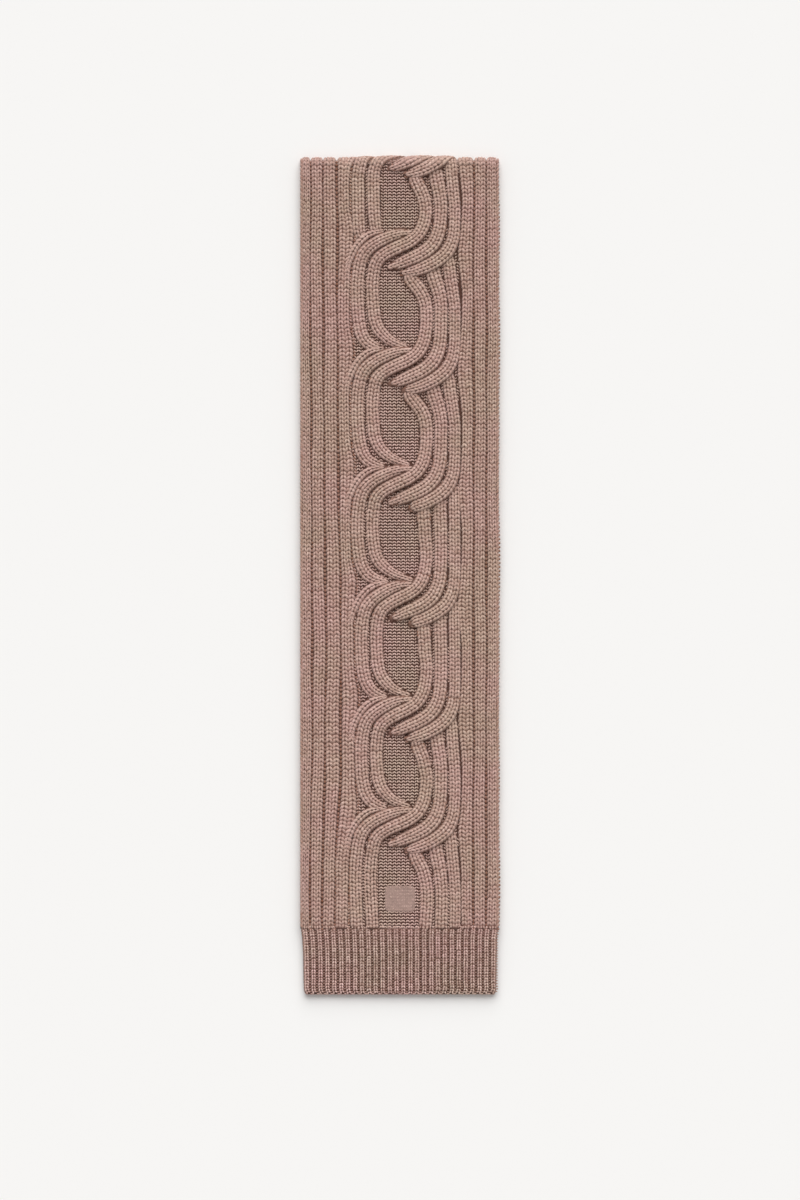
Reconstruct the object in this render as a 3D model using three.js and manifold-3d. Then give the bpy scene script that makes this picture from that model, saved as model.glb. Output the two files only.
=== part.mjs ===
// A heavy cable-knit scarf, folded once across its middle and laid flat, with its lower half hidden.
// Millimetres. X runs across the scarf, Y along it towards the fold, Z up from the surface it lies on.
import * as THREE from "three";
import Module from "manifold-3d";

const wasm = await Module();
wasm.setup();

// Driving sizes of the folded scarf.
const foldedLength = 920;
const panelHalfWidth = 109;
const hemLength = 72;
const seamGap = 0.3;
const foldReach = 9;

// Heights. The lower layer lies on the surface and the upper wall lies on the lower layer.
const lowerTop = 6;
const wallInside = lowerTop + seamGap;
const groundTop = 9;
const ribLift = 3.5;
const archHeight = 4.1;
const ribOverlap = 0.5;
const ribRootDepth = 2.2;
const valleyDip = 2;
const foldMiddle = (lowerTop + wallInside) / 2;

// How far the round turn's inner slit reaches in, and how much the welts' long edges slope.
const slitReach = 2.5;
const hemEdgeSlope = { upper: 1, lower: 1, foot: 1.5 };

const foldLine = foldedLength / 2 - foldReach;
const hemStart = foldedLength - hemLength;
const yAt = (down) => foldedLength / 2 - down;

// Turns a table's lines into rows with named columns.
function asRows(columns, lines) {
  return lines.map((line) => Object.fromEntries(line.map((value, i) => [columns[i], value])));
}

// Where each cable crossing's centre lies, measured down from the fold, how far the ribs left of the
// windows stand to the right above and below it, how strongly the ribs that run in behind it lean, and how
// squarely the ribs that come out below it leave it.
const crossings = asRows(
  ["down", "shiftAbove", "shiftBelow", "lean", "square"],
  [
    [-6, 0, 0, 1, 0.4],
    [102, 0, 0, 0.1, 0],
    [231, 0, 0, 0.9, 0],
    [361, 0, 0, 1, 1],
    [488, 0, 4.2, 1.1, 1],
    [614, 4.2, 4, 1, 0.55],
    [736, 4, -1.2, 1, 0.4],
  ],
);

// How far left of the middle a shift counts in full.
const shiftReach = 30;

// Ribs that hardly lean stay wide to their ends, near a full half width, and run in further: the shares
// of both that a rib standing upright gets.
const upright = { half: 7.8, wider: 0.7, longer: 0.14 };

// Below a square crossing the ribs come out this share nearer to where they end, and the turning rib's tip
// left of tipAt is drawn in towards it by tipShare.
const squared = { share: 0.9, tipAt: 16, tipShare: 0.7 };

// A rib's way through a crossing: x across the scarf, down from the crossing's centre, half of the rib's
// width, and lift, the height of its crown above the purl ground.
const wayColumns = ["x", "down", "half", "lift"];

// The two left ribs lean right and run in behind the crossing.
const outerRunsUnder = asRows(wayColumns, [
  [-45.5, -62, 7.9, 3.5],
  [-44, -48, 8, 3.6],
  [-41, -36.5, 8, 3.9],
  [-35.5, -28, 7.6, 4],
  [-27, -23, 6.6, 3.4],
  [-17, -20, 5, 2.4],
]);
const innerRunsUnder = asRows(wayColumns, [
  [-28.5, -64, 7.8, 3.5],
  [-26.5, -51, 7.8, 3.7],
  [-22.5, -42, 7.5, 4.1],
  [-16, -35, 7, 4.3],
  [-8.5, -29.5, 6, 4],
  [1, -25.5, 5, 3.2],
  [11, -22, 4.4, 2.4],
]);

// The straight rib beside them swells along the crossing's upper left edge.
const swellsBeside = asRows(wayColumns, [
  [-20, -20, 2.8, 3],
  [-32, -17, 4.2, 4.4],
  [-42, -10, 4.8, 4.6],
  [-49.5, 0, 4.8, 4.2],
  [-55, 12, 4.4, 3.6],
  [-59, 26, 3.4, 2.6],
]);

// The four ribs that cross in front, from upper right to lower left.
const frontToOuterLeft = asRows(wayColumns, [
  [11, -18, 3.2, 5],
  [3, -17.5, 4.6, 6.2],
  [-6, -15.5, 5.9, 7],
  [-16.5, -11.5, 6.9, 7.4],
  [-26.5, -6.5, 7.1, 7.1],
  [-34.5, -0.5, 7.5, 6.3],
  [-40.5, 7, 7.8, 5.2],
  [-43.5, 16, 7.8, 4.2],
  [-45.5, 29, 7.8, 3.5],
]);
const frontToInnerLeft = asRows(wayColumns, [
  [29.5, -56, 7.8, 3.5],
  [28.5, -38, 7.7, 4.2],
  [25.5, -25, 7.6, 5.4],
  [19.5, -15, 7.4, 6.6],
  [11, -8.5, 7.5, 7.4],
  [2, -4, 7.6, 7.8],
  [-7, 0, 7.6, 7.5],
  [-15.5, 4.5, 7.5, 6.8],
  [-22.5, 10, 7.5, 5.8],
  [-26.5, 17, 7.7, 4.6],
  [-28.5, 27, 7.8, 3.5],
]);
const frontToTip = asRows(wayColumns, [
  [45.5, -52, 8, 3.5],
  [45, -34, 7.9, 4.2],
  [42.5, -18, 7.8, 5.4],
  [37, -6, 8.1, 6.8],
  [28.5, 2, 8, 7.7],
  [18.5, 7.7, 7.8, 7.8],
  [8.5, 12, 7.3, 7.2],
  [-1, 16, 6, 6],
  [-11, 19.5, 3.4, 4],
]);
const frontToTurn = asRows(wayColumns, [
  [60.8, -50, 7, 3.5],
  [60.5, -28, 7, 4.2],
  [58, -9, 7.3, 5.6],
  [52, 3, 7.9, 6.8],
  [44.5, 10, 7.9, 7.5],
  [36, 15.5, 7.7, 7.6],
  [25.5, 20.5, 7.4, 7.2],
  [15, 24, 6.3, 6.3],
  [4.5, 26, 3.4, 4.8],
]);

// The ribs that come out below the crossing on its right.
const turnsBackRight = asRows(wayColumns, [
  [13, 22, 6, 3.6],
  [11, 29, 7.6, 4.6],
  [16, 37.5, 8.2, 4.6],
  [23, 46.5, 8.2, 4.1],
  [28, 58, 8, 3.5],
]);
const comesOutMiddle = asRows(wayColumns, [
  [33, 10, 7.4, 2.5],
  [35.5, 20, 8.8, 3.4],
  [38.5, 32, 9, 3.8],
  [42.5, 44.5, 8.4, 3.6],
  [45.5, 60, 8, 3.5],
]);
const comesOutRight = asRows(wayColumns, [
  [52.5, 4, 6, 2.4],
  [54, 14, 7.6, 3.3],
  [56, 31, 7.6, 3.6],
  [58.5, 47, 7.4, 3.5],
  [60.8, 66, 7, 3.5],
]);

// The gutters between the straight ribs each side of the cable, and the places of the panel's edges.
const panelStart = -12;
const panelEnd = 860;
const leftGutters = asRows(
  ["down", "edge", "first", "second", "third", "fourth"],
  [
    [panelStart, -107.8, -98, -84, -69, -54],
    [168, -107.8, -98, -84, -68.5, -54],
    [410, -107.8, -96.5, -82, -66.5, -53.3],
    [531, -107.8, -95.7, -81, -64, -49],
    [685, -107.8, -96.5, -82, -65, -48.3],
    [779, -107.8, -98.5, -85, -71, -54.5],
    [panelEnd, -107.8, -98.5, -85, -71.5, -56],
  ],
);
const rightGutters = asRows(
  ["down", "first", "second", "third", "edge"],
  [
    [panelStart, 67.5, 81.5, 95.5, 107.8],
    [168, 67.5, 81.5, 95.5, 107.8],
    [509, 67.5, 81.5, 95.5, 107.8],
    [panelEnd, 67.5, 81, 95, 107.8],
  ],
);

// How far a crossing pulls the gutters next to the cable inwards, by distance down from its centre.
const cablePull = asRows(
  ["down", "left", "right"],
  [
    [-46, 0, 0],
    [-22, 4.5, -1.5],
    [4, 2.5, -5],
    [30, 0, -2.5],
    [50, 0, 0],
  ],
);

// The round turn: the gutters' places across it, where the ribs of the topmost crossing run over.
const foldGutters = [-109, -97.5, -83.5, -69, -53.5, -33, -2, 33, 51, 67.5, 81.5, 95.5, 109];

// The end welt's sections, from the seam to the cast-off edge.
const hemSections = asRows(
  ["down", "left", "right", "inside", "ground", "crown"],
  [
    [hemStart + seamGap, -108.2, 108.2, 6.3, 8.6, 11],
    [hemStart + 8, -107.2, 107.2, 6, 8.2, 10.4],
    [hemStart + 28, -106, 106.8, 5.2, 7.4, 9.7],
    [hemStart + 56, -105.6, 106.4, 4.6, 6.8, 9.2],
    [hemStart + 69, -105, 106, 4.6, 6.7, 8.9],
    [hemStart + 72, -103, 104, 4.9, 6.2, 7.4],
  ],
);
const hemRibs = 28;

// The plain sewn patch, on the purl ground of the lowest window.
const patchWidth = 33;
const patchHeight = 28;
const patchCorner = 4;
const patchCornerSteps = 5;
const patchThickness = 1.2;
const patchBevel = 0.4;
const patchDown = 815;
const patchAcross = 0.5;

// Joins equal closed outlines into one solid. Each section holds an outline and a place for its points.
function loft(sections) {
  const ringSize = sections[0].outline.length;
  const positions = sections.flatMap((s) => s.outline.flatMap((p) => s.place(p).toArray()));
  const faces = [];
  for (let ring = 0; ring + 1 < sections.length; ring += 1) {
    for (let i = 0; i < ringSize; i += 1) {
      const next = (i + 1) % ringSize;
      const a = ring * ringSize;
      const b = a + ringSize;
      faces.push([a + i, a + next, b + next], [a + i, b + next, b + i]);
    }
  }
  const last = (sections.length - 1) * ringSize;
  capFaces(sections[0].outline).forEach(([a, b, c]) => faces.push([c, b, a]));
  capFaces(sections.at(-1).outline).forEach(([a, b, c]) => faces.push([last + a, last + b, last + c]));
  return facingOut(positions, faces);
}

// An outline's flat cap, with each face wound the way the outline runs.
function capFaces(outline) {
  const wayRound = THREE.ShapeUtils.area(outline);
  return THREE.ShapeUtils.triangulateShape(outline, []).map(([a, b, c]) => {
    const area = THREE.ShapeUtils.area([outline[a], outline[b], outline[c]]);
    return area * wayRound > 0 ? [a, b, c] : [a, c, b];
  });
}

// A geometry of the given points and faces, with its faces turned to point out.
function facingOut(positions, faces) {
  const corner = (i) => new THREE.Vector3().fromArray(positions, 3 * i);
  const volume = faces.reduce((sum, [a, b, c]) => sum + corner(a).dot(corner(b).cross(corner(c))), 0);
  const turned = volume < 0 ? faces.map(([a, b, c]) => [a, c, b]) : faces;
  const geometry = new THREE.BufferGeometry();
  geometry.setAttribute("position", new THREE.Float32BufferAttribute(positions, 3));
  geometry.setIndex(turned.flat());
  return geometry;
}

// A geometry as a solid that can be joined and cut, and a solid as a geometry again.
function solidOf(geometry) {
  return new wasm.Manifold(
    new wasm.Mesh({
      numProp: 3,
      vertProperties: new Float32Array(geometry.attributes.position.array),
      triVerts: new Uint32Array(geometry.index.array),
    }),
  );
}

function geometryOf(solid) {
  const mesh = solid.getMesh();
  const geometry = new THREE.BufferGeometry();
  geometry.setAttribute("position", new THREE.BufferAttribute(mesh.vertProperties, 3));
  geometry.setIndex(new THREE.BufferAttribute(mesh.triVerts, 1));
  return geometry;
}

// A rib's arch: how far across, in half widths, and how high, in arch heights, from foot to foot.
const archPoints = [
  [-1, 0],
  [-0.8, 0.6],
  [-0.35, 1],
  [0.35, 1],
  [0.8, 0.6],
  [1, 0],
];

// A rib that follows its way, as an arch on upright sides whose root is inside the ground wall.
function ribSolid(way) {
  const centres = way.map((row) => new THREE.Vector2(row.x, yAt(row.down)));
  const sections = way.map((row, i) => {
    const before = centres[Math.max(i - 1, 0)];
    const after = centres[Math.min(i + 1, way.length - 1)];
    const across = after.clone().sub(before).normalize().rotateAround(new THREE.Vector2(), Math.PI / 2);
    const spring = groundTop + row.lift - archHeight;
    const root = groundTop - ribRootDepth;
    const outline = archPoints.map(([a, h]) => new THREE.Vector2(a * row.half, spring + h * archHeight));
    outline.push(new THREE.Vector2(row.half, root), new THREE.Vector2(-row.half, root));
    const place = (p) => {
      const foot = centres[i].clone().addScaledVector(across, p.x);
      return new THREE.Vector3(foot.x, foot.y, p.y);
    };
    return { outline, place };
  });
  return solidOf(loft(sections));
}

// The rows of one way, moved to its crossing. What lies left of the windows takes the crossing's shift.
function atCrossing(rows, crossing) {
  const runsUnder = rows === outerRunsUnder || rows === innerRunsUnder;
  const comesOut = rows === turnsBackRight || rows === comesOutMiddle || rows === comesOutRight;
  const lean = runsUnder ? crossing.lean : 1;
  const shift = runsUnder ? crossing.shiftAbove : crossing.shiftBelow;
  const { x: start, down: top } = rows[0];
  const end = rows[rows.length - 1];
  const straighter = 1 - lean;
  const squarer = comesOut ? squared.share * crossing.square : 0;
  const tip = rows === frontToTurn ? squared.tipShare * crossing.square : 0;
  return rows.map((row) => ({
    ...row,
    x:
      start + lean * (row.x - start) +
      shift * THREE.MathUtils.clamp(-row.x / shiftReach, 0, 1) +
      squarer * (end.x - row.x) +
      tip * Math.max(squared.tipAt - row.x, 0),
    down: crossing.down + top + (row.down - top) * (1 + straighter * upright.longer),
    half:
      row.half + straighter * upright.wider * (upright.half - row.half) + squarer * (end.half - row.half),
  }));
}

// The cable's strands: each starts at one crossing and runs down through the next ones.
const strands = [
  [frontToOuterLeft, outerRunsUnder],
  [turnsBackRight, frontToInnerLeft, innerRunsUnder],
  [comesOutRight, frontToTurn],
  [comesOutMiddle, frontToTip],
  [swellsBeside],
];

// The least distance down from one crossing's last row to the next crossing's first.
const rowSpacing = 6;

function cableSolids() {
  const longest = Math.max(...strands.map((strand) => strand.length));
  const solids = [];
  for (let first = 1 - longest; first < crossings.length; first += 1) {
    strands.forEach((strand) => {
      const way = [];
      strand.forEach((rows, i) => {
        const crossing = crossings[first + i];
        if (!crossing) return;
        const lowest = way.length ? way.at(-1).down + rowSpacing : -Infinity;
        way.push(...atCrossing(rows, crossing).filter((row) => row.down > lowest));
      });
      if (way.length === 0) return;
      const runsOn = strand.length > 1 && first + strand.length > crossings.length;
      if (runsOn) way.push({ ...way.at(-1), down: panelEnd });
      solids.push(ribSolid(way));
    });
  }
  return solids;
}

// A table's column at any distance down, read between its rows.
function valueAt(rows, column, down) {
  const next = rows.findIndex((row) => row.down > down);
  if (next === 0) return rows[0][column];
  if (next < 0) return rows.at(-1)[column];
  const [a, b] = [rows[next - 1], rows[next]];
  return THREE.MathUtils.mapLinear(down, a.down, b.down, a[column], b[column]);
}

// The pull of the nearest crossing on the gutter at one side of the cable.
function pullAt(down, side) {
  const near = crossings.find((c) => Math.abs(down - c.down) <= cablePull.at(-1).down);
  return near ? valueAt(cablePull, side, down - near.down) : 0;
}

// A straight rib between two gutters, each given as its place across at any distance down.
function straightRib(downs, leftOf, rightOf) {
  return ribSolid(
    downs.map((down) => ({
      x: (leftOf(down) + rightOf(down)) / 2,
      down,
      half: (rightOf(down) - leftOf(down)) / 2 + ribOverlap,
      lift: ribLift,
    })),
  );
}

// The ribs each side of the cable. Those next to it follow the crossings' pull.
function straightRibs() {
  const gutter = (rows, column) => (down) => valueAt(rows, column, down);
  const farDowns = leftGutters.map((row) => row.down);
  const nearDowns = crossings
    .flatMap((c) => cablePull.map((row) => c.down + row.down))
    .filter((down) => down > panelStart && down < panelEnd);
  const cableDowns = [panelStart, ...nearDowns, panelEnd];
  const left = ["edge", "first", "second", "third"].map((column) => gutter(leftGutters, column));
  const right = ["first", "second", "third", "edge"].map((column) => gutter(rightGutters, column));
  const beside = {
    left: (down) => valueAt(leftGutters, "fourth", down) + pullAt(down, "left"),
    right: (down) => valueAt(rightGutters, "first", down) + pullAt(down, "right"),
  };
  return [
    straightRib(farDowns, left[0], left[1]),
    straightRib(farDowns, left[1], left[2]),
    straightRib(farDowns, left[2], left[3]),
    straightRib(cableDowns, left[3], beside.left),
    straightRib(cableDowns, beside.right, right[1]),
    straightRib(farDowns, right[1], right[2]),
    straightRib(farDowns, right[2], right[3]),
  ];
}

// A flat wall with round long edges, lofted down the scarf from one place to another.
function flatWall(from, to, low, high) {
  const half = panelHalfWidth;
  const middle = (low + high) / 2;
  const round = (high - low) / 2;
  const edgeAngles = [-90, -45, 0, 45, 90].map(THREE.MathUtils.degToRad);
  const rightEdge = edgeAngles.map(
    (a) => new THREE.Vector2(half - round + round * Math.cos(a), middle + round * Math.sin(a)),
  );
  const leftEdge = rightEdge.map((p) => new THREE.Vector2(-p.x, p.y)).reverse();
  const outline = [...rightEdge, ...leftEdge];
  const place = (down) => (p) => new THREE.Vector3(p.x, yAt(down), p.y);
  return loft([from, to].map((down) => ({ outline, place: place(down) })));
}

// A plain box across the middle, as a solid whose corners are shared.
function boxSolid(width, length, height, y) {
  const box = new THREE.BoxGeometry(width, length, height);
  box.translate(0, y, 0);
  const corners = [];
  const index = [];
  const seen = new Map();
  const position = box.attributes.position;
  for (let i = 0; i < position.count; i += 1) {
    const point = new THREE.Vector3().fromBufferAttribute(position, i);
    const key = point.toArray().join();
    if (!seen.has(key)) {
      seen.set(key, seen.size);
      corners.push(...point.toArray());
    }
    index.push(seen.get(key));
  }
  const merged = new THREE.BufferGeometry();
  merged.setAttribute("position", new THREE.Float32BufferAttribute(corners, 3));
  merged.setIndex(Array.from(box.index.array, (i) => index[i]));
  return solidOf(merged);
}

// The half that shows: a plain wall with every rib and crossing raised on its outer side. All of them run on
// past both ends and are cut off square there.
function upperBody() {
  const top = foldReach + seamGap;
  const length = hemStart - top;
  const runOn = 1;
  const wall = solidOf(flatWall(top - runOn, hemStart + runOn, wallInside, groundTop));
  const joined = [...straightRibs(), ...cableSolids()].reduce((sum, rib) => sum.add(rib), wall);
  const widerThanAll = 4 * panelHalfWidth;
  const tallerThanAll = 20 * groundTop;
  const stretch = boxSolid(widerThanAll, length, tallerThanAll, yAt(top + length / 2));
  return geometryOf(joined.intersect(stretch));
}

// The round turn, a wall bent back on itself, with a bump for each rib that runs over it. Between the
// bumps it draws back by valleyDip.
function fold() {
  const bumpPlaces = [0, 0.14, 0.5, 0.86];
  const stations = [];
  foldGutters.slice(1).forEach((right, i) => {
    const left = foldGutters[i];
    bumpPlaces.forEach((t) => {
      const arch = Math.sqrt(1 - (2 * t - 1) ** 2);
      stations.push({ x: THREE.MathUtils.lerp(left, right, t), arch });
    });
  });
  stations.push({ x: foldGutters.at(-1), arch: 0 });
  const turnSteps = 8;
  const sections = stations.map(({ x, arch }) => {
    const top = groundTop + ribLift * arch;
    const reach = foldReach - valleyDip * (1 - arch);
    const outline = [];
    for (let i = 0; i <= turnSteps; i += 1) {
      const angle = Math.PI * (i / turnSteps - 0.5);
      const radius = angle < 0 ? foldMiddle : top - foldMiddle;
      outline.push(new THREE.Vector2(reach * Math.cos(angle), foldMiddle + radius * Math.sin(angle)));
    }
    outline.push(new THREE.Vector2(0, wallInside));
    outline.push(new THREE.Vector2(slitReach, foldMiddle));
    outline.push(new THREE.Vector2(0, lowerTop));
    return { outline, place: (p) => new THREE.Vector3(x, foldLine + p.x, p.y) };
  });
  return loft(sections);
}

// The half that lies hidden, flat on the surface.
function underBody() {
  return flatWall(foldReach + seamGap, hemStart, 0, lowerTop);
}

// The welt that shows: narrow ribs raised side by side over a plain inside.
function upperHem() {
  const ribPlaces = [0, 0.2, 0.5, 0.8];
  const sections = hemSections.map((row) => {
    const pitch = (row.right - row.left) / hemRibs;
    const outline = [];
    for (let rib = 0; rib < hemRibs; rib += 1) {
      ribPlaces.forEach((t) => {
        const arch = Math.sqrt(1 - (2 * t - 1) ** 2);
        const height = row.ground + (row.crown - row.ground) * arch;
        outline.push(new THREE.Vector2(row.left + pitch * (rib + t), height));
      });
    }
    outline.push(new THREE.Vector2(row.right, row.ground));
    outline.push(new THREE.Vector2(row.right - hemEdgeSlope.upper, row.inside));
    outline.push(new THREE.Vector2(row.left + hemEdgeSlope.upper, row.inside));
    return { outline, place: (p) => new THREE.Vector3(p.x, yAt(row.down), p.y) };
  });
  return loft(sections);
}

// The welt below it, plain and flat underneath.
function underHem() {
  const sections = hemSections.map((row) => {
    const top = row.inside - seamGap;
    const outline = [
      new THREE.Vector2(row.left + hemEdgeSlope.foot, 0),
      new THREE.Vector2(row.right - hemEdgeSlope.foot, 0),
      new THREE.Vector2(row.right, top / 3),
      new THREE.Vector2(row.right, (2 * top) / 3),
      new THREE.Vector2(row.right - hemEdgeSlope.lower, top),
      new THREE.Vector2(row.left + hemEdgeSlope.lower, top),
      new THREE.Vector2(row.left, (2 * top) / 3),
      new THREE.Vector2(row.left, top / 3),
    ];
    return { outline, place: (p) => new THREE.Vector3(p.x, yAt(row.down), p.y) };
  });
  return loft(sections);
}

// A plain oblong with round corners and a soft edge.
function patch() {
  const corner = patchCorner;
  const w = patchWidth / 2 - patchBevel;
  const h = patchHeight / 2 - patchBevel;
  const shape = new THREE.Shape();
  shape.absarc(w - corner, h - corner, corner, 0, Math.PI / 2);
  shape.absarc(-w + corner, h - corner, corner, Math.PI / 2, Math.PI);
  shape.absarc(-w + corner, -h + corner, corner, Math.PI, 1.5 * Math.PI);
  shape.absarc(w - corner, -h + corner, corner, 1.5 * Math.PI, 2 * Math.PI);
  const oblong = new THREE.ExtrudeGeometry(shape, {
    depth: patchThickness - 2 * patchBevel,
    curveSegments: patchCornerSteps,
    bevelThickness: patchBevel,
    bevelSize: patchBevel,
    bevelSegments: 1,
  });
  return oblong.translate(0, 0, patchBevel);
}

const wool = { color: 0xa3806f, roughness: 0.95, metalness: 0 };
const weltWool = { color: 0x96756a, roughness: 0.95, metalness: 0 };
const patchFace = { color: 0xa78c80, roughness: 0.7, metalness: 0 };

function piece(name, geometry, finish) {
  geometry.computeVertexNormals();
  const mesh = new THREE.Mesh(geometry, new THREE.MeshStandardMaterial(finish));
  mesh.name = name;
  return mesh;
}

const scarf = new THREE.Group();
scarf.name = "scarf";
scarf.add(piece("upper_body", upperBody(), wool));
scarf.add(piece("fold", fold(), wool));
scarf.add(piece("under_body", underBody(), wool));
scarf.add(piece("upper_hem", upperHem(), weltWool));
scarf.add(piece("under_hem", underHem(), weltWool));
const sewnPatch = piece("patch", patch(), patchFace);
sewnPatch.position.set(patchAcross, yAt(patchDown), groundTop + seamGap);
scarf.add(sewnPatch);

export default scarf;
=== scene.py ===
import math

import bmesh
import bpy
import numpy as np
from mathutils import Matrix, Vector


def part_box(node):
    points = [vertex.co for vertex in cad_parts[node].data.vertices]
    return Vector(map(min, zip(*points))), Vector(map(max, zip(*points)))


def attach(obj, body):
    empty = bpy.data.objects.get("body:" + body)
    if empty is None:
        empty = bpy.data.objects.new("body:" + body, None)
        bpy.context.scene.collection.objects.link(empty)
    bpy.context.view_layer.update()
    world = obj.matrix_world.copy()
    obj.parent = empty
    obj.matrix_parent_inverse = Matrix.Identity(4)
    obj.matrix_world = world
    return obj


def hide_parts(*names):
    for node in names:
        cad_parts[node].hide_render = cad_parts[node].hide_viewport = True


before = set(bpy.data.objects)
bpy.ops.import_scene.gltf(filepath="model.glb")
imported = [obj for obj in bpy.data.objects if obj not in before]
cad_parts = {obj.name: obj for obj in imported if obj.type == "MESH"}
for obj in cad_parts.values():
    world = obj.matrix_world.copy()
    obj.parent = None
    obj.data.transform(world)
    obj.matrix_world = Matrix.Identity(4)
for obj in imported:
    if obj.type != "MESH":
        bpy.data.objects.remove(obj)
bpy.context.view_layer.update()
random = np.random.default_rng(7)

# Sizes below are in millimetres, and meshes are made in metres.
mm = 0.001
panelLow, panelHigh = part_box("upper_body")
hemLow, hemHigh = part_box("upper_hem")
foldLow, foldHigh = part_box("fold")
panelHalf = panelHigh.x / mm
foldTip = foldHigh.y / mm
hemStart = foldTip - panelLow.y / mm
hemEnd = foldTip - hemLow.y / mm

folded = {
    "lowerTop": 6.0,
    "inside": 6.3,
    "ground": 9.0,
    "lift": 3.5,
    "arch": 4.1,
    "foldReach": 9.0,
    "foldMiddle": 6.15,
    "seamGap": 0.3,
    "turnedBack": -14.0,
}


def asRows(columns, lines):
    return [dict(zip(columns, line)) for line in lines]


# The cable's crossings, from the fold down: how far the ribs left of the windows stand to the right above
# and below each, how strongly the ribs behind it lean, and how squarely the ribs below it come out.
crossings = asRows(
    ("down", "shiftAbove", "shiftBelow", "lean", "square"),
    [
        (-6, 0, 0, 1, 0.4),
        (102, 0, 0, 0.1, 0),
        (231, 0, 0, 0.9, 0),
        (361, 0, 0, 1, 1),
        (488, 0, 4.2, 1.1, 1),
        (614, 4.2, 4, 1, 0.55),
        (736, 4, -1.2, 1, 0.4),
    ],
)
shiftReach = 30  # how far left of the middle a shift counts in full
upright = {"half": 7.8, "wider": 0.7, "longer": 0.14}
squared = {"share": 0.9, "tipAt": 16, "tipShare": 0.7}
wayColumns = ("x", "down", "half", "lift")

# How each rib of the cable runs through one crossing: across and down from the crossing's centre, half its
# width, and how high its top stands over the purl ground.
outerRunsUnder = asRows(wayColumns, [
    (-45.5, -62, 7.9, 3.5), (-44, -48, 8, 3.6), (-41, -36.5, 8, 3.9),
    (-35.5, -28, 7.6, 4), (-27, -23, 6.6, 3.4), (-17, -20, 5, 2.4),
])
innerRunsUnder = asRows(wayColumns, [
    (-28.5, -64, 7.8, 3.5), (-26.5, -51, 7.8, 3.7), (-22.5, -42, 7.5, 4.1), (-16, -35, 7, 4.3),
    (-8.5, -29.5, 6, 4), (1, -25.5, 5, 3.2), (11, -22, 4.4, 2.4),
])
swellsBeside = asRows(wayColumns, [
    (-20, -20, 2.8, 3), (-32, -17, 4.2, 4.4), (-42, -10, 4.8, 4.6), (-49.5, 0, 4.8, 4.2),
    (-55, 12, 4.4, 3.6), (-59, 26, 3.4, 2.6),
])
frontToOuterLeft = asRows(wayColumns, [
    (11, -18, 3.2, 5), (3, -17.5, 4.6, 6.2), (-6, -15.5, 5.9, 7), (-16.5, -11.5, 6.9, 7.4),
    (-26.5, -6.5, 7.1, 7.1), (-34.5, -0.5, 7.5, 6.3), (-40.5, 7, 7.8, 5.2), (-43.5, 16, 7.8, 4.2),
    (-45.5, 29, 7.8, 3.5),
])
frontToInnerLeft = asRows(wayColumns, [
    (29.5, -56, 7.8, 3.5), (28.5, -38, 7.7, 4.2), (25.5, -25, 7.6, 5.4), (19.5, -15, 7.4, 6.6),
    (11, -8.5, 7.5, 7.4), (2, -4, 7.6, 7.8), (-7, 0, 7.6, 7.5), (-15.5, 4.5, 7.5, 6.8),
    (-22.5, 10, 7.5, 5.8), (-26.5, 17, 7.7, 4.6), (-28.5, 27, 7.8, 3.5),
])
frontToTip = asRows(wayColumns, [
    (45.5, -52, 8, 3.5), (45, -34, 7.9, 4.2), (42.5, -18, 7.8, 5.4), (37, -6, 8.1, 6.8),
    (28.5, 2, 8, 7.7), (18.5, 7.7, 7.8, 7.8), (8.5, 12, 7.3, 7.2), (-1, 16, 6, 6), (-11, 19.5, 3.4, 4),
])
frontToTurn = asRows(wayColumns, [
    (60.8, -50, 7, 3.5), (60.5, -28, 7, 4.2), (58, -9, 7.3, 5.6), (52, 3, 7.9, 6.8),
    (44.5, 10, 7.9, 7.5), (36, 15.5, 7.7, 7.6), (25.5, 20.5, 7.4, 7.2), (15, 24, 6.3, 6.3),
    (4.5, 26, 3.4, 4.8),
])
turnsBackRight = asRows(wayColumns, [
    (13, 22, 6, 3.6), (11, 29, 7.6, 4.6), (16, 37.5, 8.2, 4.6), (23, 46.5, 8.2, 4.1), (28, 58, 8, 3.5),
])
comesOutMiddle = asRows(wayColumns, [
    (33, 10, 7.4, 2.5), (35.5, 20, 8.8, 3.4), (38.5, 32, 9, 3.8), (42.5, 44.5, 8.4, 3.6),
    (45.5, 60, 8, 3.5),
])
comesOutRight = asRows(wayColumns, [
    (52.5, 4, 6, 2.4), (54, 14, 7.6, 3.3), (56, 31, 7.6, 3.6), (58.5, 47, 7.4, 3.5), (60.8, 66, 7, 3.5),
])
# Each strand of the cable runs through these ways, one crossing after another.
strands = [
    ("left", [frontToOuterLeft, outerRunsUnder]),
    ("middle", [turnsBackRight, frontToInnerLeft, innerRunsUnder]),
    ("right", [comesOutRight, frontToTurn]),
    ("middle", [comesOutMiddle, frontToTip]),
    ("left", [swellsBeside]),
]
rowSpacing = 6

# The gutters beside the straight ribs, how the cable's crossings pull the nearest ones, and the welt.
leftGutters = asRows(("down", "edge", "first", "second", "third", "fourth"), [
    (-12, -107.8, -98, -84, -69, -54), (168, -107.8, -98, -84, -68.5, -54),
    (410, -107.8, -96.5, -82, -66.5, -53.3), (531, -107.8, -95.7, -81, -64, -49),
    (685, -107.8, -96.5, -82, -65, -48.3), (779, -107.8, -98.5, -85, -71, -54.5),
    (860, -107.8, -98.5, -85, -71.5, -56),
])
rightGutters = asRows(("down", "first", "second", "third", "edge"), [
    (-12, 67.5, 81.5, 95.5, 107.8), (509, 67.5, 81.5, 95.5, 107.8), (860, 67.5, 81, 95, 107.8),
])
cablePull = asRows(("down", "left", "right"), [
    (-46, 0, 0), (-22, 4.5, -1.5), (4, 2.5, -5), (30, 0, -2.5), (50, 0, 0),
])
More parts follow.
